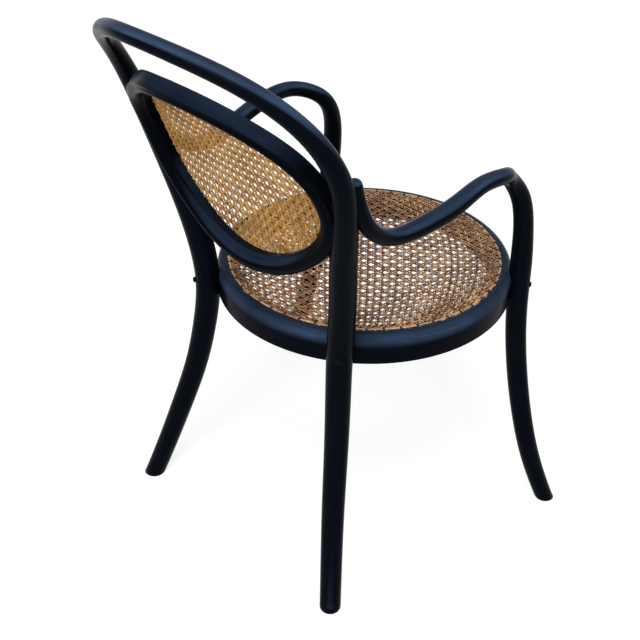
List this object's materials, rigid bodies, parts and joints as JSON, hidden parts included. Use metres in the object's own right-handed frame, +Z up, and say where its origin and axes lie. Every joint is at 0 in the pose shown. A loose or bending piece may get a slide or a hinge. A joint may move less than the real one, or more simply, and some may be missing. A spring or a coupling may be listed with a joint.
{
  "type": "bentwood armchair",
  "caption": "Bentwood armchair in black lacquered wood: round woven-cane seat, bowed oval caned back inside a hoop, and arms that bend down into the front legs.",
  "frame": {"origin": "on the floor, under the middle of the bounding box", "axes": "+Z up, front of the chair towards -Y, left as seen from the front towards -X"},
  "size_m": [0.6678, 0.683, 0.9165],
  "materials": {
    "black_lacquer": "black lacquer over beech, satin, worn at the edges",
    "seat_cane": "woven cane, aged, matt",
    "back_cane": "woven cane, honey coloured, slight sheen",
    "binder_cane": "wide binder cane, pale, slight sheen",
    "tie_cane": "fine cane, dark with age",
    "black_steel": "black paint, satin",
    "steel": "dull zinc"
  },
  "bodies": {
    "root": {"back_hoop": "black_lacquer", "arm_leg_left": "black_lacquer", "arm_leg_right": "black_lacquer", "seat_ring": "black_lacquer", "oval_ring": "black_lacquer", "seat_cane": "seat_cane", "seat_binder": "binder_cane", "seat_binder_ties": "tie_cane", "back_cane": "back_cane", "back_binder": "binder_cane", "rear_leg_bolts": "black_steel", "front_leg_bolts": "black_steel", "rear_leg_washers": "steel", "rear_leg_nuts": "steel", "front_leg_washers": "steel", "front_leg_nuts": "steel", "oval_screws": "black_steel", "arm_screws": "black_steel"}
  },
  "joints": []
}
